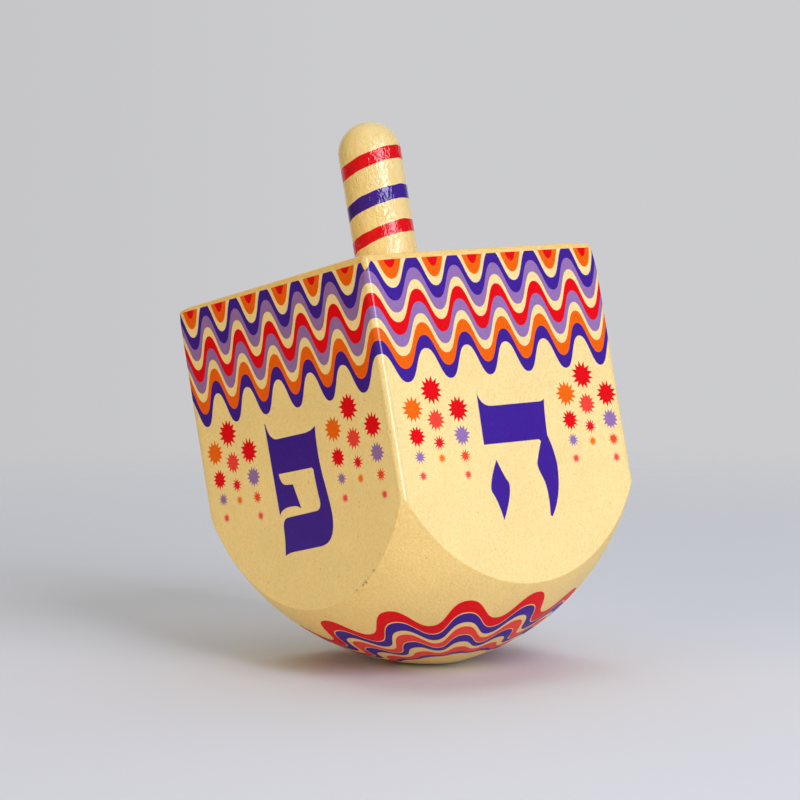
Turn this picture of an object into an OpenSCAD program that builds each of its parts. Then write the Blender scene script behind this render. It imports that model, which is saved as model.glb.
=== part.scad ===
// Dreidel: a square wooden block turned to a ball underneath, with a dowel stem.
// Millimetres. Z is the spin axis, Z = 0 is the tip of the ball, and the four
// side faces look along +X, +Y, -X and -Y.

/* [Block] */
// Width of the square block, from one side face to the opposite one
block_w = 76; // [56:0.5:100]
// Height of the block, from the tip of the ball to the flat top
block_h = 98.8; // [84:0.2:130]
// Rounding of the four upright edges
upright_edge_r = 1.4; // [0.8:0.1:5]
// Rounding of the edges around the flat top
top_edge_r = 1; // [0.4:0.1:2]

/* [Ball] */
// How far the ball's widest circle would stand out beyond the upright edges
ball_stand_out = 2.8; // [1:0.1:8]
// How far the centre of the ball's arc lies past the spin axis
arc_past_axis = 4; // [1:0.1:8]
// Radius of the small worn flat on the tip
tip_flat_r = 1.5; // [0.5:0.1:4]

/* [Stem] */
// Diameter of the dowel stem
stem_d = 16; // [10:0.5:24]
// Length of stem above the flat top, its round end included
stem_out = 39; // [26:0.5:60]
// Length of stem glued into the block
stem_in = 26; // [14:0.5:34]
// Chamfer on the stem's buried end
stem_chamfer = 1; // [0.4:0.1:2]

/* [Bore] */
// Room for glue all round the stem
glue_gap = 0.05; // [0.02:0.01:0.15]
// Room for glue under the stem's buried end
glue_room = 0.3; // [0.1:0.1:1]
// Full angle of the point that the drill leaves at the bottom of the bore
drill_point_angle = 118; // [90:1:140]

/* [Hidden] */
$fn = 96;
half_w = block_w / 2;

// The top's rounding has to turn inside the rounding of the upright edges
top_r_limit_share = 0.9;
top_r = min(top_edge_r, top_r_limit_share * upright_edge_r);

// Distance from the spin axis to the outside of a rounded upright edge
edge_reach = (half_w - upright_edge_r) * sqrt(2) + upright_edge_r;

// The ball is one arc, swept round the spin axis. Its centre lies a little past
// the axis, so the ball comes down to a faint point, worn to a small flat.
ball_r = edge_reach + ball_stand_out;
arc_r = ball_r + arc_past_axis;
ball_centre_z = sqrt(arc_r * arc_r - pow(tip_flat_r + arc_past_axis, 2));

// The straight stretch of the block's blank starts at the ball's centre
blank_h = block_h - ball_centre_z;

bore_r = stem_d / 2 + glue_gap;
bore_depth = stem_in + glue_room;
drill_point_h = bore_r / tan(drill_point_angle / 2);
stem_r = stem_d / 2;

// Overrun of cuts past the faces that they open
cut_over = 1;

// Square outline of width w with rounded corners of radius r
module rounded_square(w, r) {
    union() {
        square([w - 2 * r, w], center = true);
        square([w, w - 2 * r], center = true);
        for (x = [-1, 1], y = [-1, 1])
            translate([x * (w / 2 - r), y * (w / 2 - r)]) circle(r = r);
    }
}

// Quarter-round bead along one top edge, with its centre line on the X axis
module top_edge_bead(length) {
    rotate([0, 90, 0]) cylinder(r = top_r, h = length, center = true);
}

// Quarter-round bead that carries the top rounding round one upright edge
module top_corner_bead() {
    rotate_extrude()
        union() {
            square([upright_edge_r - top_r, top_r]);
            translate([upright_edge_r - top_r, 0])
                intersection() {
                    circle(r = top_r);
                    square(top_r);
                }
        }
}

// Square prism with rounded upright edges and a rounded top
module block_prism() {
    corner = half_w - upright_edge_r;
    shoulder_z = block_h - top_r;
    union() {
        linear_extrude(height = shoulder_z) rounded_square(block_w, upright_edge_r);
        translate([0, 0, shoulder_z - top_r])
            linear_extrude(height = 2 * top_r)
                rounded_square(block_w - 2 * top_r, upright_edge_r - top_r);
        for (turn = [0:3])
            rotate([0, 0, 90 * turn])
                translate([0, half_w - top_r, shoulder_z]) top_edge_bead(2 * corner);
        for (x = [-1, 1], y = [-1, 1])
            translate([x * corner, y * corner, shoulder_z]) top_corner_bead();
    }
}

// Round blank: the ball below its widest circle, straight above it
module turned_blank() {
    rotate_extrude()
        union() {
            translate([0, ball_centre_z]) square([ball_r, blank_h]);
            intersection() {
                translate([-arc_past_axis, ball_centre_z]) circle(r = arc_r);
                square([ball_r, ball_centre_z]);
            }
        }
}

// Blind bore from the flat top, with the drill's point at its bottom
module stem_bore() {
    translate([0, 0, block_h - bore_depth])
        union() {
            cylinder(r = bore_r, h = bore_depth + cut_over);
            translate([0, 0, -drill_point_h]) cylinder(r1 = 0, r2 = bore_r, h = drill_point_h);
        }
}

module body() {
    color("#e9cf92")
        difference() {
            intersection() {
                block_prism();
                turned_blank();
            }
            stem_bore();
        }
}

module stem() {
    straight = stem_in + stem_out - stem_r;
    color("#e6c98a")
        translate([0, 0, block_h - stem_in])
            union() {
                cylinder(r1 = stem_r - stem_chamfer, r2 = stem_r, h = stem_chamfer);
                translate([0, 0, stem_chamfer]) cylinder(r = stem_r, h = straight - stem_chamfer);
                translate([0, 0, straight]) sphere(r = stem_r);
            }
}

body();
stem();
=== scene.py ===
"""Looks of the dreidel: a printed and painted wooden block with a lacquered dowel stem.

Lengths are in millimetres up to the moment a mesh is made, and metres from there on.
The block's four side faces look along +Y, -X, -Y and +X, in that order round the spin
axis, and Z = 0 is the tip of the ball.
"""

import math

import bmesh
import bpy
import numpy as np
from mathutils import Matrix, Vector
from mathutils.geometry import delaunay_2d_cdt


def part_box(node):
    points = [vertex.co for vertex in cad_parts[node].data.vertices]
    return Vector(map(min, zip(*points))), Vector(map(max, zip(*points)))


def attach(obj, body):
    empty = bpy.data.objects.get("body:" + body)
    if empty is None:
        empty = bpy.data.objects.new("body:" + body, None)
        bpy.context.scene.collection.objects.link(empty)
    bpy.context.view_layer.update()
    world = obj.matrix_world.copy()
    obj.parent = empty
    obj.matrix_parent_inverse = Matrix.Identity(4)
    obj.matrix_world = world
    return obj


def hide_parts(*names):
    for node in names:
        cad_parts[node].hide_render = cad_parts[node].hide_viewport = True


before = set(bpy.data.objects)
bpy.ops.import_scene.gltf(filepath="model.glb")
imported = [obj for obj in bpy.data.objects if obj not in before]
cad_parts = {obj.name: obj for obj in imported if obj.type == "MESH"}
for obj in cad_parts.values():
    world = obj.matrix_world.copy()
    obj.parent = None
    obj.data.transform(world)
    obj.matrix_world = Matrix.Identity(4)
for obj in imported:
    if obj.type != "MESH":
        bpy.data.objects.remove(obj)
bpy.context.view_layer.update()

MM = 0.001
rng = np.random.default_rng(24)

# Sizes of the wooden pieces
BLOCK_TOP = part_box("body")[1].z / MM
HALF_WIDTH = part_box("body")[1].x / MM
STEM_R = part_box("stem")[1].x / MM
STEM_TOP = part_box("stem")[1].z / MM
STEM_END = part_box("stem")[0].z / MM
EDGE_R = 1.4
LEAST_EDGE_R = 0.05
TOP_R = 1.0
BALL_STAND_OUT = 2.8
ARC_PAST_AXIS = 4.0
TIP_FLAT_R = 1.5
STEM_CHAMFER = 1.0
GLUE_GAP = 0.05
GLUE_ROOM = 0.3
DRILL_POINT_ANGLE = 118

FLAT_HALF = HALF_WIDTH - EDGE_R
EDGE_REACH = FLAT_HALF * math.sqrt(2) + EDGE_R
ARC_R = EDGE_REACH + BALL_STAND_OUT + ARC_PAST_AXIS
BALL_CENTRE_Z = math.sqrt(ARC_R ** 2 - (TIP_FLAT_R + ARC_PAST_AXIS) ** 2)
BORE_R = STEM_R + GLUE_GAP
BORE_BOTTOM = STEM_END - GLUE_ROOM
DRILL_POINT_H = BORE_R / math.tan(math.radians(DRILL_POINT_ANGLE / 2))
TIP_ANGLE = math.degrees(math.asin((TIP_FLAT_R + ARC_PAST_AXIS) / ARC_R))

# The photographed toy was turned a little off centre: this is where the lathe's axis stood,
# from the middle of the square block. Ball, bore and stem share it.
LATHE = np.array([-0.47, 1.67])

# Distance round the block, one side face with half of the rounded edge at each end
CORNER_ARC = math.pi / 2 * EDGE_R
SIDE = 2 * FLAT_HALF + CORNER_ARC
ROUND = 4 * SIDE

# The top was sanded a little lower than its full height, and rises by these shares along X and Y
TOP_SANDED = 0.18
TOP_RISE = (0.0021, -0.0026)
# Softer corners of the top: distance round the block, how much deeper and wider their rounding is
SOFT_CORNERS = [(-SIDE, -0.1, 0.9), (0.0, 0.3, 0.3), (SIDE, 0.35, 0.9)]
SOFT_CORNER_REACH = 4.0
# The upright edge at the left is rounder than the others: by this much at its middle, this far round
WORN_EDGE_AT = -SIDE
WORN_EDGE_DEPTH = 0.38
WORN_EDGE_REACH = 2.3
# Upper corners that lean inwards: place, how far at the top, over what height, how far round
LEANING_CORNERS = [(-SIDE, 0.7, 2.3, 2.5), (SIDE, 1.0, 10.0, 5.0)]
# The edge between sides and ball is softened by this radius, which waves a little: count and share
EDGE_SOFTNESS = 0.42
EDGE_UNEVENNESS = [(31, 0.10), (47, 0.10), (83, 0.08)]
# Dents in that edge: distances round the block, how much softer it is there, over what length
EDGE_DENTS = ROUND + np.array([-14.6, -18.5, -22.2, -45.0, -130.0, -90.0])
DENT_DEPTH = 0.5
DENT_REACH = 0.7

# Printed waves round the block: heights are measured down from the flat top
PRINT_LINE = -1.4
WAVE_COUNT = 24
WAVE_SWING = 4.15
WAVE_FLATTENING = -0.25
WAVE_BANDS = [
    ("red", 5.8, 2.385),
    ("orange", -1.7, 1.14),
    ("cream", -4.4, 1.0),
    ("indigo", -7.5, 1.0),
    ("lavender", -10.4, 1.0),
    ("cream", -12.7, 1.0),
    ("red", -15.8, 1.0),
    ("lavender", -18.7, 1.0),
    ("cream", -20.9, 1.0),
    ("orange", -24.0, 1.0),
    ("indigo", -27.2, 1.0),
]
# How far the transfer slipped away from the near edge to its right and left, and over what lengths
SLIP_RIGHT, SLIP_RIGHT_EASE, SLIP_RIGHT_FADE = 2.6, 16.0, 56.0
SLIP_LEFT, SLIP_LEFT_EASE, SLIP_LEFT_FADE = 1.65, 9.0, 45.0
SLIP_FADE_LENGTH = 40.0
# How much lower the waves and the transfer's top edge sit at some places round the block
LINE_SAGS = [(-ROUND / 2, 0.25), (-SIDE, -0.45), (0, 0.6), (8, 0.32), (ROUND / 2, 0.45)]
WAVE_SAGS = [
    (-ROUND / 2, 0.25), (-SIDE, -0.45), (-64, -0.22), (-58, 0.1), (-45, 0.18), (-33, 0.3), (-21, 0.46),
    (-8, 0.2), (0, 0.33), (8, 0.38), (20, 0.52), (ROUND / 2, 0.52),
]
# How much taller the waves came out at some places round the block
WAVE_STRETCHES = [(-SIDE, 0.0), (-45, 0.008), (-21, 0.026), (-8, 0.044), (0, 0.03), (8, 0.01), (20, 0.0)]
# The bare notch in the transfer at the near edge
NOTCH_DEPTH = 2.3
NOTCH_CENTRE = -0.3
NOTCH_LEFT = 0.8
NOTCH_RIGHT = 1.8

# Painted rings round the ball: angle from straight down at crest and at trough
RING_COUNT = 11
RING_TURN = math.radians(28.5)
RING_FLATTENING = -0.06
RINGS = [
    ("red", 40.9, 33.2),
    ("cream_ball", 36.7, 29.6),
    ("indigo", 36.35, 29.3),
    ("cream_ball", 32.85, 26.4),
    ("coral", 31.1, 24.7),
    ("cream_ball", 27.5, 22.2),
    ("indigo", 27.2, 21.9),
    ("cream_ball", 23.85, 20.0),
    ("coral", 21.0, 18.5),
    ("indigo", 17.8, 16.6),
    ("cream_ball", 16.2, 15.6),
]

# Stripes round the stem, lowest and highest edge above the block's top
STRIPES = [("lacquer_red", 7.4, 10.55), ("lacquer_indigo", 15.9, 19.5), ("lacquer_red", 26.0, 29.4)]
STRIPE_RISE = 2.15
STRIPE_RISE_TOWARDS = math.radians(110)
STRIPE_UNEVENNESS = 0.16
STRIPE_RIPPLES = (3, 5, 8, 13)

# The dowel's uneven skin: bumps round it, their height, how many such heights slimmer it is in
# between, how far the bumps twist on the way up, and over what height they begin
DOWEL_BUMPS = (2, 3, 5, 7)
DOWEL_UNEVENNESS = 0.018
DOWEL_SLIMMER = 2.2
DOWEL_TWIST = 1.5
DOWEL_EASE = 3
ANY_PHASE = 6.3

# Fineness of the meshes: steps along and across, and how close columns and points may come
FLAT_STEPS = 146
CORNER_STEPS = 4
TOP_STEPS = 6
EDGE_ROWS = 14
EDGE_STEPS = 3
BORE_POINTS = 96
TIP_POINTS = 48
WIDE_RINGS = 9
WIDE_RING_STEPS = 24
RING_STEPS = 16
CURVE_STEPS = 7
STEM_COLUMNS = 144
PLAIN_ROWS = 8
STRIPE_ROWS = 4
DOME_ROWS = 20
SLOPE_STEP = 0.01
MEETING_STEP = 0.05
COLUMN_CLEARANCE = 0.16
WELD = 0.002
CUT_TOLERANCE = 1e-5
HAIR = 1e-6
# Free points inside the flat outlines: how far apart, and how far from any line
TOP_SPACING, TOP_CLEARANCE = 3.0, 1.2
SIDE_SPACING, SIDE_CLEARANCE = 2.4, 0.9
BALL_SPACING, BALL_CLEARANCE = 1.7, 0.7
TOP_MARGIN = 0.2
MOUTH_MARGIN = 1


def smooth(x):
    """0 to 1, level at both ends."""
    x = np.clip(x, 0, 1)
    return x * x * (3 - 2 * x)


def unit(v):
    """The directions v, each of length 1."""
    return v / np.linalg.norm(v, axis=-1, keepdims=True)


def from_near_edge(s):
    """The same place, counted less than half way round to either side."""
    return (s + ROUND / 2) % ROUND - ROUND / 2


def missing(s, z):
    """How much of the block is worn away, inwards, at some places on its sides."""
    away = np.abs(from_near_edge(s) - WORN_EDGE_AT)
    gone = WORN_EDGE_DEPTH * (1 - smooth(away / WORN_EDGE_REACH))
    for at, most, height, reach in LEANING_CORNERS:
        near = np.exp(-((from_near_edge(s) - at) / reach) ** 2)
        gone = gone + most * near * np.clip(1 - (BLOCK_TOP - z) / height, 0, 1) ** 2
    return gone


def side_point(s, z, inset=0.0):
    """Points on the block's sides, s mm round from the near edge and at height z, with their normals."""
    side = np.floor(s / SIDE)
    along = s - side * SIDE - SIDE / 2
    turn = np.sign(along) * np.clip(np.abs(along) - FLAT_HALF, 0, None) / EDGE_R
    inset = inset + missing(s, z)
    radius = np.maximum(EDGE_R - inset, LEAST_EDGE_R)
    flat_half = HALF_WIDTH - inset - radius
    a = np.clip(along / FLAT_HALF, -1, 1) * flat_half + radius * np.sin(turn)
    b = flat_half + radius * np.cos(turn)
    out = math.pi / 2 * (side + 1)
    co = np.stack([-a * np.sin(out) + b * np.cos(out), a * np.cos(out) + b * np.sin(out), z + 0 * s], -1)
    round_fall = (missing(s + SLOPE_STEP, z) - missing(s - SLOPE_STEP, z)) / (2 * SLOPE_STEP)
    upward_fall = (missing(s, z + SLOPE_STEP) - missing(s, z - SLOPE_STEP)) / (2 * SLOPE_STEP)
    heading = out + turn + np.arctan(round_fall)
    normal = unit(np.stack([np.cos(heading), np.sin(heading), upward_fall], -1))
    return co, normal


def about_lathe(co):
    """Distance and direction of places from the lathe's axis."""
    x, y = co[..., 0] - LATHE[0], co[..., 1] - LATHE[1]
    return np.hypot(x, y), np.arctan2(y, x)


def ball_point(theta, azimuth):
    """Points on the ball, theta degrees up from straight down, with their normals."""
    t = np.radians(theta)
    worn = theta < TIP_ANGLE - HAIR
    r = np.where(worn, TIP_FLAT_R * theta / TIP_ANGLE, -ARC_PAST_AXIS + ARC_R * np.sin(t))
    z = np.where(worn, 0, BALL_CENTRE_Z - ARC_R * np.cos(t))
    co = np.stack([LATHE[0] + r * np.cos(azimuth), LATHE[1] + r * np.sin(azimuth), z], -1)
    lean = np.where(worn, 0, np.sin(t))
    normal = np.stack([lean * np.cos(azimuth), lean * np.sin(azimuth), -np.sqrt(1 - lean ** 2)], -1)
    return co, normal


def top_level(co):
    """Height of the sanded top at some places."""
    return BLOCK_TOP - TOP_SANDED + TOP_RISE[0] * co[..., 0] + TOP_RISE[1] * co[..., 1]


def slipped(away, most, ease, fade):
    """How far the transfer slipped at some distance away from the near edge."""
    away = np.clip(away, 0, None)
    return most * np.tanh(away / ease) * (1 - smooth((away - fade) / SLIP_FADE_LENGTH))


def listed(s, table):
    """The amount at s, from a table of places round the block and amounts, straight between them."""
    places, amounts = zip(*table)
    return np.interp(from_near_edge(s), places, amounts)


def wave_line(s, level, share):
    """Height of a band's lower edge, s mm round from the near edge. share scales its swing."""
    s = from_near_edge(s)
    right = slipped(s, SLIP_RIGHT, SLIP_RIGHT_EASE, SLIP_RIGHT_FADE)
    left = slipped(-s, SLIP_LEFT, SLIP_LEFT_EASE, SLIP_LEFT_FADE)
    turn = 2 * math.pi * WAVE_COUNT * (s - right + left) / ROUND
    swing = WAVE_SWING * np.cos(turn) + WAVE_FLATTENING * np.cos(3 * turn)
    taller = 1 + listed(s, WAVE_STRETCHES)
    return level * taller - listed(s, WAVE_SAGS) + share * swing


def print_line(s):
    """Height of the transfer's top edge, with its notch at the near edge."""
    from_notch = from_near_edge(s) - NOTCH_CENTRE
    width = np.where(from_notch < 0, NOTCH_LEFT, NOTCH_RIGHT)
    notch = NOTCH_DEPTH * np.clip(1 - np.abs(from_notch) / width, 0, 1)
    return PRINT_LINE - listed(s, LINE_SAGS) - notch


class Patches:
    """Patches of one skin, each with its own vertices, which are welded when the mesh is made."""

    def __init__(self):
        self.points, self.normals, self.faces, self.inks = [], [], [], []
        self.count = 0

    def add(self, points, normals):
        """Takes in the points and returns the number of the first one."""
        first = self.count
        self.points.append(np.reshape(points, (-1, 3)))
        self.normals.append(np.reshape(normals, (-1, 3)))
        self.count += len(self.points[-1])
        return first

    def face(self, corners, ink):
        """Takes in one face, by the numbers of its points."""
        self.faces.append(corners)
        self.inks.append(ink)

    def grid(self, points, normals, inks):
        """Quads between neighbouring rows of points. inks has one ink for each band of quads."""
        rows, columns = points.shape[:2]
        first = self.add(points, normals)
        for i in range(rows - 1):
            for j in range(columns - 1):
                a = first + i * columns + j
                self.face((a, a + 1, a + columns + 1, a + columns), inks[i])

    def strip(self, rows, inks):
        """The same for rows that each have their points and normals."""
        points, normals = (np.array(part) for part in zip(*rows))
        self.grid(points, normals, inks)

    def fill(self, outline, shapes, inner, place, ink, keep_out=()):
        """Triangles inside a flat outline, cut along the closed lines of shapes.

        shapes is a list of (ink, points). inner holds free points inside, and place turns
        flat points into places on the skin and their normals. keep_out holds hole outlines.
        """
        loops = [outline, *keep_out, *[points for _, points in shapes]]
        edges = []
        first = 0
        for loop in loops:
            n = len(loop)
            edges += [(first + i, first + (i + 1) % n) for i in range(n)]
            first += n
        given = np.concatenate([*loops, inner])
        made = delaunay_2d_cdt([Vector(p) for p in given], edges, [], 0, CUT_TOLERANCE, True)
        flat = np.array([given[ids[0]] if ids else list(v) for v, ids in zip(made[0], made[3])])
        tris = np.array(made[2])
        centres = flat[tris].mean(1)
        kept = inside(centres, outline)
        for hole in keep_out:
            kept &= ~inside(centres, hole)
        found = np.zeros(len(tris), int)
        for number, (_, points) in enumerate(shapes):
            found[inside(centres, points)] = number + 1
        names = [ink] + [name for name, _ in shapes]
        base = self.add(*place(flat))
        for tri, number in zip(tris[kept], found[kept]):
            self.face(tuple(int(base + i) for i in tri), names[number])

    def mesh(self, name, materials):
        """One welded mesh object with its own vertex normals and a material for each ink."""
        inks = list(dict.fromkeys(self.inks))
        data = bpy.data.meshes.new(name)
        data.from_pydata((np.concatenate(self.points) * MM).tolist(), [], self.faces)
        data.polygons.foreach_set("material_index", [inks.index(i) for i in self.inks])
        data.attributes.new("skin_normal", "FLOAT_VECTOR", "POINT").data.foreach_set(
            "vector", np.concatenate(self.normals).astype(np.float32).ravel()
        )
        for ink in inks:
            data.materials.append(materials[ink])
        work = bmesh.new()
        work.from_mesh(data)
        bmesh.ops.remove_doubles(work, verts=work.verts, dist=WELD * MM)
        bmesh.ops.recalc_face_normals(work, faces=work.faces)
        for face in work.faces:
            face.smooth = True
        work.to_mesh(data)
        work.free()
        skin = np.zeros(len(data.vertices) * 3, np.float32)
        data.attributes["skin_normal"].data.foreach_get("vector", skin)
        data.attributes.remove(data.attributes["skin_normal"])
        data.normals_split_custom_set_from_vertices(skin.reshape(-1, 3).tolist())
        made = bpy.data.objects.new(name, data)
        bpy.context.scene.collection.objects.link(made)
        return made


def inside(points, loop):
    """Which points lie inside a closed flat line, by counting the crossings to the right."""
    x, y = points[:, 0, None], points[:, 1, None]
    ax, ay = loop[:, 0], loop[:, 1]
    bx, by = np.roll(ax, -1), np.roll(ay, -1)
    spans = (ay > y) != (by > y)
    with np.errstate(divide="ignore", invalid="ignore"):
        crosses = spans & (x < ax + (y - ay) * (bx - ax) / (by - ay))
    return crosses.sum(1) % 2 == 1


def spread(low, high, step, lines, clearance):
    """Evenly spread points in a rectangle, in staggered rows, clear of the given lines' points."""
    rows = np.arange(low[1], high[1], step * math.sqrt(3) / 2)
    columns = np.arange(low[0], high[0], step)
    points = np.array([(x + (i % 2) * step / 2, y) for i, y in enumerate(rows) for x in columns])
    near = np.concatenate(lines)
    clear = np.array([np.min(np.hypot(*(near - p).T)) > clearance for p in points])
    return points[clear]


# Letters of the game, as outlines of straight lines and curves.
# A point is a corner, and a pair of points is the pull and the end of a curve.
# Coordinates are mm right of the face's middle, and mm below the block's flat top.
LETTERS = {
    "he": [
        [
            (-10.2, 34.9), ((-9.3, 38.4), (-6.0, 38.4)), (9.6, 38.4), ((10.7, 38.4), (11.4, 37.8)),
            ((10.7, 42.5), (10.6, 46.9)), ((11.9, 50.0), (12.3, 54.0)), ((12.2, 62.0), (8.0, 66.9)),
            (7.4, 66.6), ((8.3, 60.0), (6.9, 57.2)), ((5.6, 54.6), (5.8, 53.4)),
            ((7.0, 50.4), (8.2, 48.2)), (7.6, 47.7), (-10.5, 47.7),
        ],
        [
            (-7.3, 51.6), ((-5.9, 55.4), (-4.4, 57.6)), ((-4.0, 60.4), (-7.9, 66.5)),
            ((-8.6, 62.0), (-10.4, 59.2)), ((-10.9, 57.4), (-7.3, 51.6)),
        ],
    ],
    "pe": [
        [
            (-10.1, 33.5), (-9.8, 33.6), ((-9.0, 37.7), (-6.2, 37.9)), (4.6, 38.1),
            ((7.4, 38.1), (9.2, 37.0)), ((8.3, 43.0), (9.2, 49.5)), ((10.2, 55.0), (10.5, 58.5)),
            ((10.6, 66.1), (4.4, 66.1)), (-6.4, 66.0), ((-8.4, 66.0), (-9.9, 66.6)),
            ((-9.0, 63.0), (-8.9, 60.0)), ((-8.8, 57.4), (-6.4, 57.4)), (4.6, 57.4),
            ((6.6, 57.4), (6.6, 55.2)), ((6.0, 51.0), (6.0, 47.3)), (5.5, 46.8), (-7.6, 46.45),
            ((-7.2, 49.4), (-5.2, 49.45)), (-2.7, 49.7), ((-1.9, 52.5), (-0.9, 56.0)),
            ((-2.2, 55.0), (-4.0, 55.0)), ((-8.4, 54.6), (-9.6, 56.6)),
        ],
    ],
    "nun": [
        [
            (-5.6, 34.2), ((-4.9, 38.1), (-2.0, 38.1)), (3.4, 38.1), ((6.0, 38.1), (7.6, 37.1)),
            ((6.8, 43.0), (7.4, 50.0)), ((8.1, 55.5), (8.2, 59.0)), ((8.0, 66.1), (2.6, 66.1)),
            (-6.0, 66.0), ((-7.8, 66.0), (-9.2, 66.6)), ((-8.4, 63.0), (-8.2, 60.2)),
            ((-8.0, 57.6), (-6.0, 57.6)), (1.8, 57.6), ((4.2, 57.4), (4.0, 54.4)),
            ((3.4, 50.5), (2.4, 47.3)), (-5.2, 47.3),
        ],
    ],
    "gimel": [
        [
            (-4.6, 34.2), ((-3.9, 38.1), (-1.2, 38.1)), (3.2, 38.1), ((5.8, 38.1), (7.2, 37.1)),
            ((6.2, 43.6), (6.9, 49.0)), ((9.6, 57.0), (9.8, 66.3)), ((8.2, 65.8), (6.2, 66.4)),
            ((6.0, 61.4), (3.6, 57.8)), ((1.0, 61.6), (-3.0, 63.4)), ((-5.4, 64.4), (-8.0, 66.6)),
            ((-8.6, 62.8), (-7.6, 60.0)), ((-1.6, 58.0), (1.4, 53.4)), ((2.4, 50.2), (1.6, 47.3)),
            (-4.3, 47.3),
        ],
    ],
}

# Star bursts of one cluster: mm right of the middle column, mm below the top, radius, ink
BURSTS = [
    (0.0, 33.3, 3.75, "red"),
    (-6.8, 37.5, 3.45, "amber"),
    (7.5, 38.4, 3.5, "red"),
    (0.0, 40.5, 3.0, "coral"),
    (-6.8, 44.1, 2.8, "red"),
    (7.5, 44.8, 2.8, "lavender"),
    (0.0, 46.1, 2.1, "rose"),
    (-6.8, 49.1, 1.95, "lavender"),
    (7.5, 49.9, 1.9, "vermilion"),
    (0.0, 49.9, 1.45, "honey"),
    (-6.8, 53.7, 1.42, "pink"),
    (7.5, 54.5, 1.42, "pink"),
]
BURST_RAYS = 13
SMALL_BURST = 2.2
SMALL_BURST_RAYS = 11
BURST_WAIST_SHARE = 0.62
SMALL_WAIST_SHARE = 0.45
BURST_RAGGEDNESS = 0.09
BURST_TWIST = 0.16

# For each side face in turn: its letter and where it sits, as mm right of the middle and mm lower,
# then its two clusters: the same two numbers, how much wider and taller, and how far askew
FACES = [
    ("he", (0.8, 0.9), [(-23.7, 0.9, 1.0, 1.0, 0.0), (26.2, 0.5, 0.95, 1.0, 0.0)]),
    ("gimel", (0.4, 0.5), [(-24.6, 0.6, 0.98, 1.0, 0.01), (24.8, 0.8, 1.0, 1.01, 0.0)]),
    ("nun", (0.5, 0.4), [(-24.2, 0.5, 1.0, 1.0, 0.0), (25.2, 0.7, 0.97, 1.0, 0.01)]),
    ("pe", (0.6, 0.2), [(-24.5, 0.4, 0.95, 1.02, 0.04), (23.3, 1.65, 1.03, 1.05, 0.03)]),
]


def letter_line(parts):
    """A letter's outline as points on the face, from its corners and curves."""
    points = [parts[0]]
    for part in parts[1:]:
        if isinstance(part[0], tuple):
            start, pull, end = np.array([points[-1], *part])
            for t in np.linspace(0, 1, CURVE_STEPS + 1)[1:]:
                points.append((1 - t) ** 2 * start + 2 * t * (1 - t) * pull + t ** 2 * end)
        else:
            points.append(part)
    points = np.array(points)
    if np.allclose(points[0], points[-1]):
        points = points[:-1]
    return points * (1, -1)


def burst_line(x, z, radius):
    """A star burst's outline, with rays of slightly uneven length."""
    small = radius < SMALL_BURST
    rays = SMALL_BURST_RAYS if small else BURST_RAYS
    waist = SMALL_WAIST_SHARE if small else BURST_WAIST_SHARE
    numbers = np.arange(2 * rays)
    twist = rng.uniform(-BURST_TWIST, BURST_TWIST, 2 * rays)
    turns = (numbers + twist) * math.pi / rays + rng.uniform(0, math.pi)
    ragged = rng.uniform(1 - BURST_RAGGEDNESS, 1, 2 * rays)
    reach = radius * ragged * np.where(numbers % 2 == 0, 1, waist)
    return np.stack([x + reach * np.cos(turns), z + reach * np.sin(turns)], -1)


def face_print(letter, letter_place, clusters):
    """All the closed shapes printed on one side face, as (ink, points)."""
    right, lower = letter_place
    shapes = [("indigo", letter_line(parts) + (right, -lower)) for parts in LETTERS[letter]]
    first_down = BURSTS[0][1]
    for right, lower, wide, tall, askew in clusters:
        for x, down, radius, ink in BURSTS:
            below = down - first_down
            at_x = right + wide * x + askew * below
            at_z = first_down + lower + tall * below + askew * x
            shapes.append((ink, burst_line(at_x, -at_z, radius)))
    return shapes


def column_places():
    """Distances round the block of the mesh's columns, with one wherever a band meets the print line."""
    corner = np.linspace(0, CORNER_ARC / 2, CORNER_STEPS + 1)[:-1]
    flat = np.linspace(CORNER_ARC / 2, SIDE - CORNER_ARC / 2, FLAT_STEPS + 1)
    side = np.concatenate([corner, flat, SIDE - corner[:0:-1]])
    plain = np.concatenate([side + i * SIDE for i in range(4)])
    fine = np.linspace(0, ROUND, int(ROUND / MEETING_STEP) + 1)
    meets = []
    for _, level, share in WAVE_BANDS:
        gap = wave_line(fine, level, share) - print_line(fine)
        at = np.nonzero(gap[:-1] * gap[1:] < 0)[0]
        meets.append(fine[at] + (fine[1] - fine[0]) * gap[at] / (gap[at] - gap[at + 1]))
    notch = NOTCH_CENTRE + np.array([-NOTCH_LEFT, 0, NOTCH_RIGHT])
    meets.append(notch % ROUND)
    meets = np.concatenate(meets)
    on_border = np.abs(np.abs((plain % SIDE) - SIDE / 2) - FLAT_HALF) < HAIR
    apart = np.min(np.abs(plain[:, None] - meets[None, :]), 1)
    places = np.sort(np.concatenate([plain[(apart > COLUMN_CLEARANCE) | on_border], meets]))
    return np.append(places, places[0] + ROUND)


def uneven(s, amounts):
    """A smooth closed line of bumps round the block, from a few sines with their own phases."""
    total = 0 * s
    for count, amount in amounts:
        total = total + amount * np.sin(2 * math.pi * count * s / ROUND + rng.uniform(0, 2 * math.pi))
    return total


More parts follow.
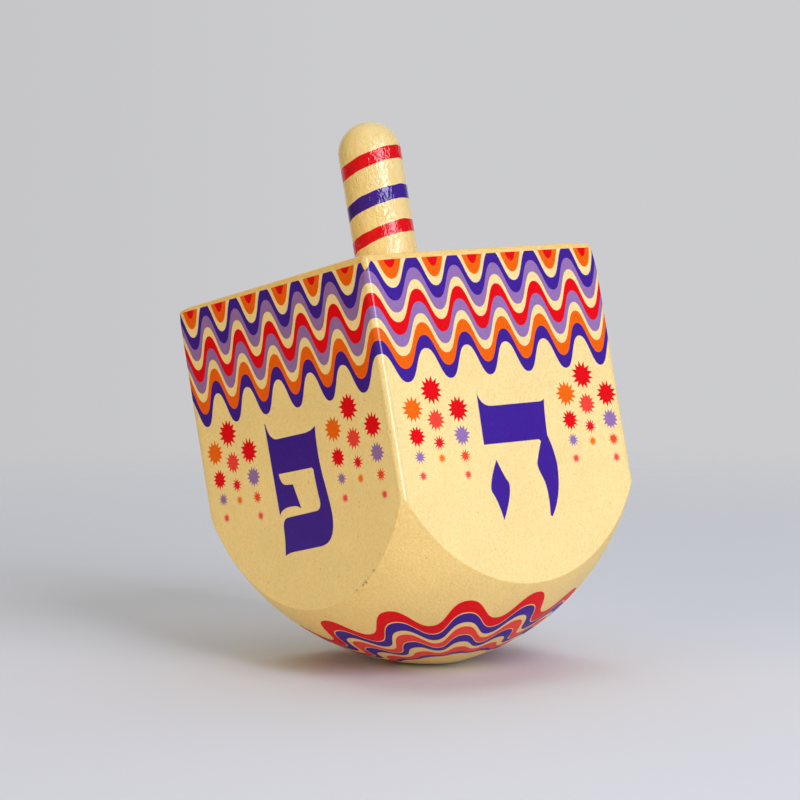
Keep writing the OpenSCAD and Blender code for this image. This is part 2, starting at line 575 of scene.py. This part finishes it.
def ball_edge(s):
    """Rows of points over the softened edge between sides and ball, from the sides down.

    Returns the rows with their normals, the first row's flat places (s, z) and the last row's
    flat places on the ball.
    """

    def sharp(at):
        """The places where ball and sides would meet, with the sides' normals."""
        co, normal = side_point(at, 0 * at)
        co[:, 2] = BALL_CENTRE_Z - np.sqrt(ARC_R ** 2 - (about_lathe(co)[0] + ARC_PAST_AXIS) ** 2)
        return co, normal

    at, side_normal = sharp(s)
    run = unit(sharp(s + SLOPE_STEP)[0] - sharp(s - SLOPE_STEP)[0])
    radius, azimuth = about_lathe(at)
    lean = (radius + ARC_PAST_AXIS) / ARC_R
    ball_normal = np.stack([lean * np.cos(azimuth), lean * np.sin(azimuth), -np.sqrt(1 - lean ** 2)], -1)
    up_side = unit(np.cross(side_normal, run))
    up_side *= np.sign(up_side[:, 2:])
    down_ball = unit(np.cross(ball_normal, run))
    down_ball *= -np.sign(np.sum(down_ball * up_side, 1, keepdims=True))
    bend = np.arccos(np.clip(np.sum(side_normal * ball_normal, 1), -1, 1))
    dents = np.concatenate([EDGE_DENTS, EDGE_DENTS + ROUND])
    radius = EDGE_SOFTNESS * (1 + uneven(s % ROUND, EDGE_UNEVENNESS))
    for place in dents:
        radius = radius + DENT_DEPTH * np.exp(-(((s - place) / DENT_REACH) ** 2))
    reach = (radius * np.tan(bend / 2))[:, None]
    radius = radius[:, None]

    top = at + reach * up_side
    run_s = np.sum(up_side * np.stack([-side_normal[:, 1], side_normal[:, 0], 0 * s], -1), 1)
    top_flat = np.stack([s + reach[:, 0] * run_s, top[:, 2]], -1)
    low = at + reach * down_ball
    low_radius, low_azimuth = about_lathe(low)
    low_lean = np.degrees(np.arcsin((low_radius + ARC_PAST_AXIS) / ARC_R))
    low_flat = np.stack([low_lean * np.cos(low_azimuth), low_lean * np.sin(low_azimuth)], -1)

    centre = top - radius * side_normal
    rows = [side_point(top_flat[:, 0], top_flat[:, 1])]
    for share in np.linspace(0, 1, EDGE_STEPS + 1)[1:-1]:
        normal = unit((1 - share) * side_normal + share * ball_normal)
        rows.append((centre + radius * normal, normal))
    rows.append(ball_point(low_lean, low_azimuth))
    return rows, top_flat, low_flat


def block_skin():
    """The block's whole skin: printed sides, rounded edges, flat top, bore and ringed ball."""
    skin = Patches()
    s = column_places()
    line = print_line(s)
    heights = [line] + [np.minimum(wave_line(s, level, share), line) for _, level, share in WAVE_BANDS]
    skin.strip([side_point(s, BLOCK_TOP + z) for z in heights], [ink for ink, _, _ in WAVE_BANDS])

    deep, wide = TOP_R + 0 * s, TOP_R + 0 * s
    for at, deeper_by, wider_by in SOFT_CORNERS:
        near = np.exp(-((from_near_edge(s) - at) / SOFT_CORNER_REACH) ** 2)
        deep += deeper_by * near
        wide += wider_by * near
    rows = [side_point(s, BLOCK_TOP + line)]
    for q in np.linspace(0, math.pi / 2, TOP_STEPS + 1):
        inset = wide * (1 - math.cos(q))
        drop = deep * (1 - math.sin(q))
        level = top_level(side_point(s, BLOCK_TOP - drop, inset)[0])
        co, out = side_point(s, level - drop, inset)
        rows.append((co, unit(out * math.cos(q) + np.array([0, 0, math.sin(q)]))))
    skin.strip(rows, ["cream_top"] * (TOP_STEPS + 1))

    rim = rows[-1][0][:-1, :2]
    turn = np.arange(BORE_POINTS) * 2 * math.pi / BORE_POINTS
    mouth = LATHE + BORE_R * np.stack([np.cos(turn), np.sin(turn)], -1)
    inner = spread(rim.min(0), rim.max(0), TOP_SPACING, [rim, mouth], TOP_CLEARANCE)
    clear_of_mouth = about_lathe(inner)[0] > BORE_R + MOUTH_MARGIN
    inner = inner[clear_of_mouth & (np.abs(inner).max(1) < FLAT_HALF - TOP_MARGIN)]

    def on_top(flat):
        """Places on the top, and their normals."""
        return np.column_stack([flat, top_level(flat)]), np.tile([0.0, 0.0, 1.0], (len(flat), 1))

    skin.fill(rim, [], inner, on_top, "cream_top", [mouth])
    bore(skin)

    edge, top_flat, low_flat = ball_edge(s)
    skin.strip(edge, ["cream_ball"] * EDGE_STEPS)
    lower_sides(skin, s, heights[-1], top_flat)
    ball(skin, low_flat[:-1])
    return skin


def bore(skin):
    """Blind bore for the stem, down to the drill's point."""
    turn = np.arange(BORE_POINTS + 1) * 2 * math.pi / BORE_POINTS
    ring = np.stack([np.cos(turn), np.sin(turn), 0 * turn], -1)
    level = np.array([0, 0, 1.0])
    axis = np.array([*LATHE, 0])
    mouth = axis + BORE_R * ring
    rim = mouth + top_level(mouth)[:, None] * level
    foot = mouth + BORE_BOTTOM * level
    skin.strip([(rim, level + 0 * ring), (foot, -ring)], ["bare_wood"])
    point = axis + 0 * ring + (BORE_BOTTOM - DRILL_POINT_H) * level
    up = unit(level * BORE_R - ring * DRILL_POINT_H)
    skin.strip([(foot, up), (point, up)], ["bare_wood"])


def lower_sides(skin, s, wave_foot, edge_flat):
    """The sides below the waves: the four flat faces with their print, and the rounded edges between."""
    shares = np.linspace(0, 1, EDGE_ROWS + 1)[:, None]
    at = np.stack([s, BLOCK_TOP + wave_foot], -1)
    down = at[None] * (1 - shares[:, :, None]) + edge_flat[None] * shares[:, :, None]
    for number, (letter, letter_place, clusters) in enumerate(FACES):
        start = number * SIDE + CORNER_ARC / 2
        end = (number + 1) * SIDE - CORNER_ARC / 2
        on_flat = np.nonzero((s > start - HAIR) & (s < end + HAIR))[0]
        first, last = on_flat[0], on_flat[-1]
        middle = np.array([number * SIDE + SIDE / 2, BLOCK_TOP])
        outline = np.concatenate([
            down[0, first:last + 1], down[1:, last], down[-1, first:last][::-1], down[1:-1, first][::-1],
        ]) - middle
        shapes = face_print(letter, letter_place, clusters)
        lines = [outline] + [points for _, points in shapes]
        inner = spread(outline.min(0), outline.max(0), SIDE_SPACING, lines, SIDE_CLEARANCE)
        inner = inner[inside(inner, outline)]

        def on_side(flat, middle=middle):
            """Places on this side face, and their normals."""
            return side_point(flat[:, 0] + middle[0], flat[:, 1] + middle[1])

        skin.fill(outline, shapes, inner, on_side, "cream")

        next_flat = start + SIDE
        corner = np.nonzero((s > end - HAIR) & (s < next_flat + HAIR))[0]
        strip = down[:, corner]
        if next_flat > s[-1]:
            again = np.nonzero(s < next_flat - ROUND + HAIR)[0][1:]
            strip = np.concatenate([strip, down[:, again] + np.array([ROUND, 0])], 1)
        co, normal = side_point(strip[:, :, 0], strip[:, :, 1])
        skin.grid(co, normal, ["cream"] * EDGE_ROWS)


def ball(skin, rim):
    """The ball with its rings, painted about the block's middle, down to the worn tip."""
    shapes = []
    middle = -np.degrees(LATHE / ARC_R)
    for number, (ink, crest, trough) in enumerate(RINGS):
        steps = RING_COUNT * (WIDE_RING_STEPS if number < WIDE_RINGS else RING_STEPS)
        turn = np.linspace(0, 2 * math.pi, steps, endpoint=False)
        phase = RING_COUNT * (turn - RING_TURN)
        swing = (1 - RING_FLATTENING) * np.cos(phase) + RING_FLATTENING * np.cos(3 * phase)
        theta = (crest + trough) / 2 + (crest - trough) / 2 * swing
        shapes.append((ink, middle + np.stack([theta * np.cos(turn), theta * np.sin(turn)], -1)))
    turn = np.linspace(0, 2 * math.pi, TIP_POINTS, endpoint=False)
    shapes.append(("cream_ball", TIP_ANGLE * np.stack([np.cos(turn), np.sin(turn)], -1)))
    lines = [rim] + [points for _, points in shapes]
    inner = spread(rim.min(0), rim.max(0), BALL_SPACING, lines, BALL_CLEARANCE)
    inner = inner[inside(inner, rim)]

    def on_ball(flat):
        """Places on the ball, and their normals."""
        return ball_point(np.hypot(flat[:, 0], flat[:, 1]), np.arctan2(flat[:, 1], flat[:, 0]))

    skin.fill(rim, shapes, inner, on_ball, "cream_ball")


def stem_skin():
    """The dowel: chamfered end, straight part with painted stripes, and domed top, a little uneven."""
    skin = Patches()
    turn = np.linspace(0, 2 * math.pi, STEM_COLUMNS + 1)
    shoulder = STEM_TOP - STEM_R
    bumps = [(k, rng.uniform(0.2, 1.0), rng.uniform(0, ANY_PHASE)) for k in DOWEL_BUMPS]
    drifts = [(rng.uniform(0.10, 0.45), rng.uniform(0, ANY_PHASE)) for _ in bumps]

    def surface(height):
        """Points at a height, which counts along the dome's arc above the shoulder, and their normals."""
        over = np.clip(height - shoulder, 0, None) / STEM_R
        lumps = 0 * height
        for (count, amount, phase), (drift, shift) in zip(bumps, drifts):
            twist = DOWEL_TWIST * np.sin(drift * height + shift)
            lumps = lumps + amount * np.sin(count * turn + phase + twist)
        bare = smooth((height - BLOCK_TOP) / DOWEL_EASE) * np.cos(np.clip(over, 0, math.pi / 2))
        radius = STEM_R - DOWEL_UNEVENNESS * (lumps + DOWEL_SLIMMER) * bare
        r = radius * np.cos(over)
        z = np.minimum(height, shoulder) + STEM_R * np.sin(over)
        co = np.stack([LATHE[0] + r * np.cos(turn), LATHE[1] + r * np.sin(turn), z], -1)
        normal = np.stack([np.cos(over) * np.cos(turn), np.cos(over) * np.sin(turn), np.sin(over)], -1)
        return co, normal

    def even_rows(low, high, count):
        """Evenly spaced heights above low, up to high."""
        return [low + (high - low) * share for share in np.linspace(0, 1, count + 1)[1:]]

    tilt = STRIPE_RISE * np.cos(turn - STRIPE_RISE_TOWARDS)
    heights = [BLOCK_TOP - 1.0 + 0 * turn]
    inks = []
    for ink, low, high in STRIPES:
        for level, band, count in ((low, "lacquer_cream", PLAIN_ROWS), (high, ink, STRIPE_ROWS)):
            ragged = sum(
                rng.uniform(0.3, 1) * np.sin(k * turn + rng.uniform(0, ANY_PHASE)) / k ** 0.5
                for k in STRIPE_RIPPLES
            )
            line = BLOCK_TOP + level + tilt + STRIPE_UNEVENNESS * ragged
            heights += even_rows(heights[-1], line, count)
            inks += [band] * count
    quarter = math.pi / 2 * STEM_R
    heights += even_rows(heights[-1], shoulder + quarter + 0 * turn, DOME_ROWS)
    inks += ["lacquer_cream"] * DOME_ROWS

    out = np.stack([np.cos(turn), np.sin(turn), 0 * turn], -1)
    up = np.array([0, 0, 1.0])
    end = np.array([*LATHE, STEM_END])
    slant = unit(out - up)
    buried = [
        (end + 0 * out, -up + 0 * out),
        (end + (STEM_R - STEM_CHAMFER) * out, unit(slant - up)),
        (end + STEM_CHAMFER * up + STEM_R * out, unit(slant + out)),
    ]
    skin.strip(buried + [surface(h) for h in heights], ["bare_wood"] * len(buried) + inks)
    return skin


# Materials: how glossy the paint and the dowel's lacquer are, and how deep their relief is in mm
SHEEN = 0.06
COAT_ROUGHNESS = 0.12
PAINT_COAT = 0.15
EDGE_COAT = 1.0
PAINT_COAT_IOR = 1.62
PAINT_RELIEF = 0.11
LACQUER_COAT = 0.95
LACQUER_COAT_IOR = 1.72
LACQUER_RELIEF = 0.4
POLISHED_MARGIN = 0.8
# Spots: size in mm of the cells that may hold one, radius in cells, share of the cells that do
PORES = ((1.9, 1.9, 2.4), 0.13, 0.08)
PALE_FLECKS = ((2.1, 2.1, 1.7), 0.13, 0.16)
PITS = ((1.9, 1.9, 1.9), 0.14, 0.2)
# Size in mm of the lacquer's runs, folds and fine grain
RUN_SIZE = (1.6, 1.6, 6.0)
FOLD_SIZE = (2.0, 2.0, 2.7)
GRAIN_SIZE = (0.6, 0.6, 0.7)

CREAM = (252, 227, 161)
TAN = (243, 202, 112)
GOLDEN = (247, 212, 134)
GOLDEN_TAN = (230, 178, 96)
BALL_CREAM = (251, 220, 145)
BALL_TAN = (238, 190, 100)
STEM_CREAM = (253, 229, 162)
WOOD = (214, 178, 122)
WOOD_BROWN = (176, 128, 78)
PORE = (130, 88, 44)
CHIP = (164, 124, 86)
RED = (234, 5, 20)
INDIGO = (65, 33, 150)
# Printed inks: colour, and how many pores and pale flecks they have
PRINTS = {
    "red": (RED, 0.5),
    "orange": ((246, 103, 6), 0.5),
    "indigo": (INDIGO, 0.8),
    "lavender": ((153, 116, 178), 0.5),
    "coral": ((248, 70, 58), 0.5),
    "rose": ((236, 22, 42), 0.5),
    "pink": ((248, 82, 84), 0.5),
    "honey": ((249, 122, 4), 0.5),
    "amber": ((247, 108, 10), 0.5),
    "vermilion": ((249, 78, 40), 0.5),
}
DEEPENED = 0.86
# Sockets for colours on the Mix node
MIX_A, MIX_B, MIX_RESULT = 6, 7, 2
# Size of the paint's specks in mm, along axes that are turned by the given angles
TEXTURES = {
    "even": dict(size=(0.42, 0.42, 0.5), turn=(0, 0, 0)),
    "slanted": dict(size=(0.36, 0.36, 1.1), turn=(0, 0.5, -0.71)),
    "level": dict(size=(1.1, 1.1, 0.35), turn=(0, 0, 0)),
    "fibre": dict(size=(0.4, 0.4, 4.0), turn=(0, 0, 0)),
}
# Chips in the paint, place and size: the notch's point, and the ball's edge left of the near edge
CHIPS = [
    ((37.6, 37.6, 94.8), 0.7),
    ((38.0, 23.1, 24.0), 0.5),
    ((38.0, 19.3, 21.7), 0.65),
    ((38.0, 18.2, 21.2), 0.45),
    ((38.0, 15.6, 20.0), 0.45),
]


def feed(tree, made, inputs):
    """Gives a node's inputs their values, or links sockets to them, by name or number."""
    for key, value in inputs.items():
        if isinstance(value, bpy.types.NodeSocket):
            tree.links.new(value, made.inputs[key])
        else:
            made.inputs[key].default_value = value


def node(tree, kind, inputs=None, **settings):
    """A new node with its settings and inputs."""
    made = tree.nodes.new(kind)
    for name, value in settings.items():
        setattr(made, name, value)
    feed(tree, made, inputs or {})
    return made


def maths(tree, operation, *values):
    """The result of a sum on values or sockets."""
    made = node(tree, "ShaderNodeMath", dict(enumerate(values)), operation=operation)
    return made.outputs[0]


def times(tree, a, b):
    """The product of two values or sockets."""
    return maths(tree, "MULTIPLY", a, b)


def ramp(tree, value, low, high, to_low=0.0, to_high=1.0):
    """The value, mapped smoothly from low..high to to_low..to_high."""
    made = node(
        tree, "ShaderNodeMapRange",
        {"Value": value, "From Min": low, "From Max": high, "To Min": to_low, "To Max": to_high},
        interpolation_type="SMOOTHSTEP",
    )
    return made.outputs["Result"]


def mixed(tree, share, a, b):
    """Colour a with a share of colour b."""
    made = node(tree, "ShaderNodeMix", {0: share, MIX_A: a, MIX_B: b}, data_type="RGBA")
    return made.outputs[MIX_RESULT]


def noise(tree, place, scale, detail=3.0, rough=0.55, distortion=0.0):
    """Cloudy noise of 0 to 1."""
    made = node(
        tree, "ShaderNodeTexNoise",
        {"Vector": place, "Scale": scale, "Detail": detail, "Roughness": rough, "Distortion": distortion},
    )
    return made.outputs["Fac"]


def between(tree, a, b, operation):
    """The one number, such as a distance, that two places or directions give."""
    return node(tree, "ShaderNodeVectorMath", {0: a, 1: b}, operation=operation).outputs["Value"]


def relief(tree, height, strength, depth):
    """The normal of a surface with that relief, depth mm deep."""
    inputs = {"Height": height, "Strength": strength, "Distance": depth * MM}
    return node(tree, "ShaderNodeBump", inputs).outputs[0]


def linear(colour):
    """An sRGB colour of 0 to 255 as a linear one with alpha."""
    shares = [c / 255 for c in colour]
    return [c / 12.92 if c <= 0.04045 else ((c + 0.055) / 1.055) ** 2.4 for c in shares] + [1.0]


def millimetres(tree):
    """The object's own coordinates, in millimetres."""
    place = node(tree, "ShaderNodeTexCoord").outputs["Object"]
    return node(tree, "ShaderNodeVectorMath", {0: place, "Scale": 1 / MM}, operation="SCALE").outputs[0]


def stretched(tree, place, size, turn=(0, 0, 0)):
    """The place in units of a patch of the given size, whose axes are turned."""
    inputs = {"Vector": place, "Rotation": turn, "Scale": size}
    return node(tree, "ShaderNodeMapping", inputs, vector_type="TEXTURE").outputs[0]


def flecks(tree, place, spots, amount=1.0):
    """Small spots: 1 inside a spot, 0 outside. amount scales how many there are."""
    cell, size, share = spots
    place = stretched(tree, place, cell)
    cells = node(tree, "ShaderNodeTexVoronoi", {"Vector": place, "Scale": 1.0})
    spot = ramp(tree, cells.outputs["Distance"], size * 0.5, size, 1.0, 0.0)
    pick = node(tree, "ShaderNodeSeparateColor", {"Color": cells.outputs["Color"]}).outputs[0]
    chosen = maths(tree, "GREATER_THAN", pick, 1 - share * amount)
    return times(tree, spot, chosen)


def new_material(name):
    """A material whose node tree holds only a shader and an output."""
    material = bpy.data.materials.new(name)
    material.use_nodes = True
    tree = material.node_tree
    tree.nodes.clear()
    shader = node(tree, "ShaderNodeBsdfPrincipled")
    output = node(tree, "ShaderNodeOutputMaterial", {"Surface": shader.outputs[0]})
    return material, tree, shader, output


def chipped(tree, place):
    """1 in the chips, 0 elsewhere, with ragged outlines."""
    ragged = ramp(tree, noise(tree, place, 2.6), 0.46, 0.56)
    found = 0.0
    for spot, size in CHIPS:
        away = between(tree, place, spot, "DISTANCE")
        found = maths(tree, "MAXIMUM", found, ramp(tree, away, 0.6 * size, size, 1.0, 0.0))
    return times(tree, found, ragged)


def near_upright_edge(tree, place):
    """1 on the block's rounded upright edges, which hands have polished, and 0 on the flat faces."""
    xyz = node(tree, "ShaderNodeSeparateXYZ", {0: place})
    x = maths(tree, "ABSOLUTE", xyz.outputs[0])
    y = maths(tree, "ABSOLUTE", xyz.outputs[1])
    return ramp(tree, maths(tree, "MINIMUM", x, y), FLAT_HALF - POLISHED_MARGIN, FLAT_HALF)


def paint(name, colour, deep, texture="even", depth=1.0, mottling=0.35, flecked=1.0):
    """Satin paint: uneven colour, fine darker specks, pores, pale flecks, chips and a pitted surface."""
    material, tree, shader, _ = new_material(name)
    place = millimetres(tree)
    patch = stretched(tree, place, **TEXTURES[texture])
    blotch = noise(tree, place, 0.07)
    specks = noise(tree, patch, 1.0, 3.0, 0.6)
    peel = noise(tree, place, 0.9, 2.0, 0.5)
    pores = flecks(tree, place, PORES, flecked)
    pale = flecks(tree, place, PALE_FLECKS, flecked)
    chips = chipped(tree, place)
    tone = ramp(tree, blotch, 0.3, 0.7, 0.975, 1.025)
    tone = maths(tree, "ADD", tone, ramp(tree, peel, 0.3, 0.7, -0.012, 0.012))
    base = mixed(tree, ramp(tree, specks, 0.38, 0.56, mottling, 0.0), linear(colour), linear(deep))
    base = node(tree, "ShaderNodeVectorMath", {0: base, "Scale": tone}, operation="SCALE").outputs[0]
    base = mixed(tree, times(tree, pores, 0.25), base, linear(PORE))
    lighter = [min(1.0, c * 1.1 + 0.12) for c in linear(colour)[:3]] + [1.0]
    base = mixed(tree, times(tree, pale, 0.5), base, lighter)
    base = mixed(tree, times(tree, chips, 0.85), base, linear(CHIP))
    rough = ramp(tree, peel, 0.3, 0.7, 0.42, 0.55)
    rough = maths(tree, "ADD", rough, times(tree, pores, 0.15))
    height = maths(tree, "ADD", times(tree, specks, 0.7), times(tree, peel, 0.6))
    height = maths(tree, "SUBTRACT", height, times(tree, pores, 0.5))
    height = maths(tree, "SUBTRACT", height, times(tree, chips, 0.8))
    feed(tree, shader, {
        "Base Color": base,
        "Roughness": rough,
        "Specular IOR Level": SHEEN,
        "Normal": relief(tree, height, 0.7, PAINT_RELIEF * depth),
        "Coat Weight": ramp(tree, near_upright_edge(tree, place), 0.0, 1.0, PAINT_COAT, EDGE_COAT),
        "Coat Roughness": COAT_ROUGHNESS,
        "Coat IOR": PAINT_COAT_IOR,
        "Coat Normal": relief(tree, height, 0.2, PAINT_RELIEF),
    })
    return material


def lacquer(name, colour, deep):
    """Thick glossy lacquer on the dowel: runs, wrinkles that are stronger in places, painted shade in the
    wrinkles' creases, and a few pits.
    """
    material, tree, shader, _ = new_material(name)
    place = millimetres(tree)
    runs = noise(tree, stretched(tree, place, RUN_SIZE), 1.0, 2.0, 0.5, 0.6)
    folds = noise(tree, stretched(tree, place, FOLD_SIZE), 1.0, 2.0, 0.5, 1.2)
    fold = maths(tree, "ABSOLUTE", maths(tree, "SUBTRACT", folds, 0.5))
    fine = noise(tree, stretched(tree, place, GRAIN_SIZE), 1.0, 2.0, 0.5, 0.4)
    strong = ramp(tree, noise(tree, place, 0.12, 2.0), 0.38, 0.62, 0.35, 1.5)
    pits = flecks(tree, place, PITS)
    base = mixed(tree, ramp(tree, runs, 0.3, 0.6, 0.3, 0.0), linear(colour), linear(deep))
    # Painted shade: the colour turns towards the deeper one along the folds' creases, where the relief is
    # lowest.
    base = mixed(tree, ramp(tree, fold, 0.0, 0.08, 0.25, 0.0), base, linear(deep))
    base = mixed(tree, times(tree, pits, 0.4), base, linear(PORE))
    height = maths(tree, "ADD", fold, times(tree, fine, 0.07))
    height = times(tree, height, strong)
    height = maths(tree, "ADD", height, times(tree, runs, 0.4))
    height = maths(tree, "SUBTRACT", height, times(tree, pits, 0.2))
    normal = relief(tree, height, 0.9, LACQUER_RELIEF)
    feed(tree, shader, {
        "Base Color": base,
        "Roughness": ramp(tree, runs, 0.3, 0.7, 0.32, 0.45),
        "Specular IOR Level": SHEEN,
        "Normal": normal,
        "Coat Weight": LACQUER_COAT,
        "Coat Roughness": COAT_ROUGHNESS,
        "Coat IOR": LACQUER_COAT_IOR,
        "Coat Normal": normal,
    })
    return material


def deeper(colour):
    """The same colour, darker."""
    return tuple(DEEPENED * c for c in colour)


MATERIALS = {
    "cream": paint("paint_cream", CREAM, TAN, depth=2.9, mottling=0.38),
    "cream_top": paint("paint_cream_top", GOLDEN, GOLDEN_TAN, "level", mottling=0.45),
    "cream_ball": paint("paint_cream_ball", BALL_CREAM, BALL_TAN, "slanted", depth=4.4, mottling=0.42),
}
for ink, (colour, flecked) in PRINTS.items():
    MATERIALS[ink] = paint("print_" + ink, colour, deeper(colour), flecked=flecked)
MATERIALS["lacquer_cream"] = lacquer("lacquer_cream", STEM_CREAM, TAN)
MATERIALS["lacquer_red"] = lacquer("lacquer_red", RED, deeper(RED))
MATERIALS["lacquer_indigo"] = lacquer("lacquer_indigo", INDIGO, deeper(INDIGO))
MATERIALS["bare_wood"] = paint("bare_wood", WOOD, WOOD_BROWN, "fibre", mottling=0.9)

block = block_skin().mesh("block", MATERIALS)
stem = stem_skin().mesh("stem_dowel", MATERIALS)
for piece, cad_node in ((block, "body"), (stem, "stem")):
    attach(piece, "root")
    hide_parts(cad_node)


# Camera: where it stands and how it is turned, in the toy's own frame
CAMERA_PLACE = Vector((672.782, 781.234, -16.601)) * MM
CAMERA_AZIMUTH = math.radians(49.319)
CAMERA_ELEVATION = math.radians(-4.64)
CAMERA_ROLL = math.radians(-9.173)
CAMERA_LENS = 185.239
CAMERA_SENSOR = 36.0
CAMERA_REACH = 20


def camera_axes():
    """Right, up and forward of the camera."""
    forward = -Vector((
        math.cos(CAMERA_ELEVATION) * math.cos(CAMERA_AZIMUTH),
        math.cos(CAMERA_ELEVATION) * math.sin(CAMERA_AZIMUTH),
        math.sin(CAMERA_ELEVATION),
    ))
    level = forward.cross(Vector((0, 0, 1))).normalized()
    above = level.cross(forward)
    right = math.cos(CAMERA_ROLL) * level + math.sin(CAMERA_ROLL) * above
    up = -math.sin(CAMERA_ROLL) * level + math.cos(CAMERA_ROLL) * above
    return right, up, forward


def put(thing, place, *axes):
    """Adds an object to the scene, at a place and with its three axes as given."""
    thing.matrix_world = Matrix.Translation(place) @ Matrix(axes).transposed().to_4x4()
    bpy.context.scene.collection.objects.link(thing)


right, up, forward = camera_axes()
camera = bpy.data.objects.new("camera", bpy.data.cameras.new("camera"))
camera.data.lens = CAMERA_LENS
camera.data.sensor_width = CAMERA_SENSOR
camera.data.clip_end = CAMERA_REACH
put(camera, CAMERA_PLACE, right, up, -forward)
bpy.context.scene.camera = camera

# The studio: a level floor under the leaning toy, seen by a camera that looks a little down
CAMERA_LOOKS_DOWN = math.radians(6.0)
sky = math.cos(CAMERA_LOOKS_DOWN) * up - math.sin(CAMERA_LOOKS_DOWN) * forward
depth = (forward - forward.dot(sky) * sky).normalized()
lean = math.acos(sky.z)
touch_r = -ARC_PAST_AXIS + ARC_R * math.sin(lean)
touch_out = Vector((-sky.x, -sky.y, 0)).normalized()
touch = (touch_r * touch_out + Vector((*LATHE, BALL_CENTRE_Z - ARC_R * math.cos(lean)))) * MM

FLOOR_SIZE = 2.4
FLOOR_ROUGHNESS = 0.7
FLOOR_SHEEN = 0.2
FLOOR_FADE = (0.22, 0.5)
FLOOR_COLOUR = (227, 230, 237)
# Backdrop colours at the left and at the right: the darker left one is painted shade
BACKDROP_COLOURS = (198, 198, 201), (204, 204, 207)
BACKDROP_SPREAD = 0.1
BACKDROP_EDGE = (0.65, 0.97)
WORLD_LIGHT = (0.06, 0.06, 0.06, 1.0)
AIM_HEIGHT = 0.055


def studio_floor():
    """A pale floor that fades into the backdrop, and lets a camera below it see through."""
    data = bpy.data.meshes.new("studio_floor")
    half = FLOOR_SIZE / 2
    corners = [(-half, -half, 0), (half, -half, 0), (half, half, 0), (-half, half, 0)]
    data.from_pydata(corners, [], [(0, 1, 2, 3)])
    made = bpy.data.objects.new("studio_floor", data)
    put(made, touch, right, depth, sky)
    material, tree, shader, output = new_material("studio_floor")
    place = node(tree, "ShaderNodeTexCoord").outputs["Object"]
    feed(tree, shader, {
        "Base Color": linear(FLOOR_COLOUR),
        "Roughness": FLOOR_ROUGHNESS,
        "Specular IOR Level": FLOOR_SHEEN,
    })
    distance = node(tree, "ShaderNodeVectorMath", {0: place}, operation="LENGTH").outputs["Value"]
    faded = ramp(tree, distance, *FLOOR_FADE)
    behind = node(tree, "ShaderNodeNewGeometry").outputs["Backfacing"]
    clear = node(tree, "ShaderNodeBsdfTransparent").outputs[0]
    share = maths(tree, "MAXIMUM", faded, behind)
    blend = node(tree, "ShaderNodeMixShader", {0: share, 1: shader.outputs[0], 2: clear})
    tree.links.new(blend.outputs[0], output.inputs["Surface"])
    data.materials.append(material)


def studio_world():
    """Even light from all round, and the backdrop behind the toy where it is seen or mirrored, with
    painted shade that makes it a little darker towards the left.
    """
    world = bpy.data.worlds.new("studio")
    bpy.context.scene.world = world
    world.use_nodes = True
    tree = world.node_tree
    tree.nodes.clear()
    ray = node(tree, "ShaderNodeLightPath").outputs
    towards = node(tree, "ShaderNodeTexCoord").outputs["Generated"]
    behind = ramp(tree, between(tree, towards, depth, "DOT_PRODUCT"), *BACKDROP_EDGE)
    mirrored = times(tree, ray["Is Glossy Ray"], behind)
    seen = maths(tree, "MAXIMUM", ray["Is Camera Ray"], ray["Is Transmission Ray"])
    seen = maths(tree, "MAXIMUM", seen, mirrored)
    # Painted shade: the backdrop darkens from the right colour to the left one towards the left.
    shaded_left_colour, right_colour = BACKDROP_COLOURS
    tone = ramp(tree, between(tree, towards, right, "DOT_PRODUCT"), -BACKDROP_SPREAD, 0.0)
    backdrop_colour = mixed(tree, tone, linear(shaded_left_colour), linear(right_colour))
    light = node(tree, "ShaderNodeBackground", {"Color": WORLD_LIGHT})
    backdrop = node(tree, "ShaderNodeBackground", {"Color": backdrop_colour})
    blend = node(tree, "ShaderNodeMixShader", {0: seen, 1: light.outputs[0], 2: backdrop.outputs[0]})
    node(tree, "ShaderNodeOutputWorld", {"Surface": blend.outputs[0]})


def softbox(name, around, above, distance, width, height, power, colour=(1, 1, 1), mirrored=False):
    """A rectangular lamp aimed at the toy. Angles are degrees right of the camera and above the floor.

    mirrored says whether glossy surfaces show the lamp.
    """
    around, above = math.radians(around), math.radians(above)
    level = math.sin(around) * right - math.cos(around) * depth
    back = math.cos(above) * level + math.sin(above) * sky
    lamp = bpy.data.lights.new(name, "AREA")
    lamp.shape = "RECTANGLE"
    lamp.size, lamp.size_y = width, height
    lamp.energy = power
    lamp.color = colour
    made = bpy.data.objects.new(name, lamp)
    made.visible_glossy = mirrored
    across = sky.cross(back).normalized()
    put(made, touch + AIM_HEIGHT * sky + distance * back, across, back.cross(across), back)


studio_floor()
studio_world()
# The lamps: angle to the right, angle up, distance, width, height and power
softbox("key", 36, 27, 1.2, 0.62, 1.0, 10.3, (0.95, 0.97, 1.1), mirrored=True)
softbox("side", 75, 6, 1.3, 0.6, 0.8, 2.8)
softbox("fill", -44, 9, 1.3, 1.4, 0.8, 6.2, (1.26, 0.99, 0.52))
softbox("overhead", 180, 72, 1.4, 1.9, 1.9, 12.8)

bpy.context.scene.view_settings.view_transform = "Standard"
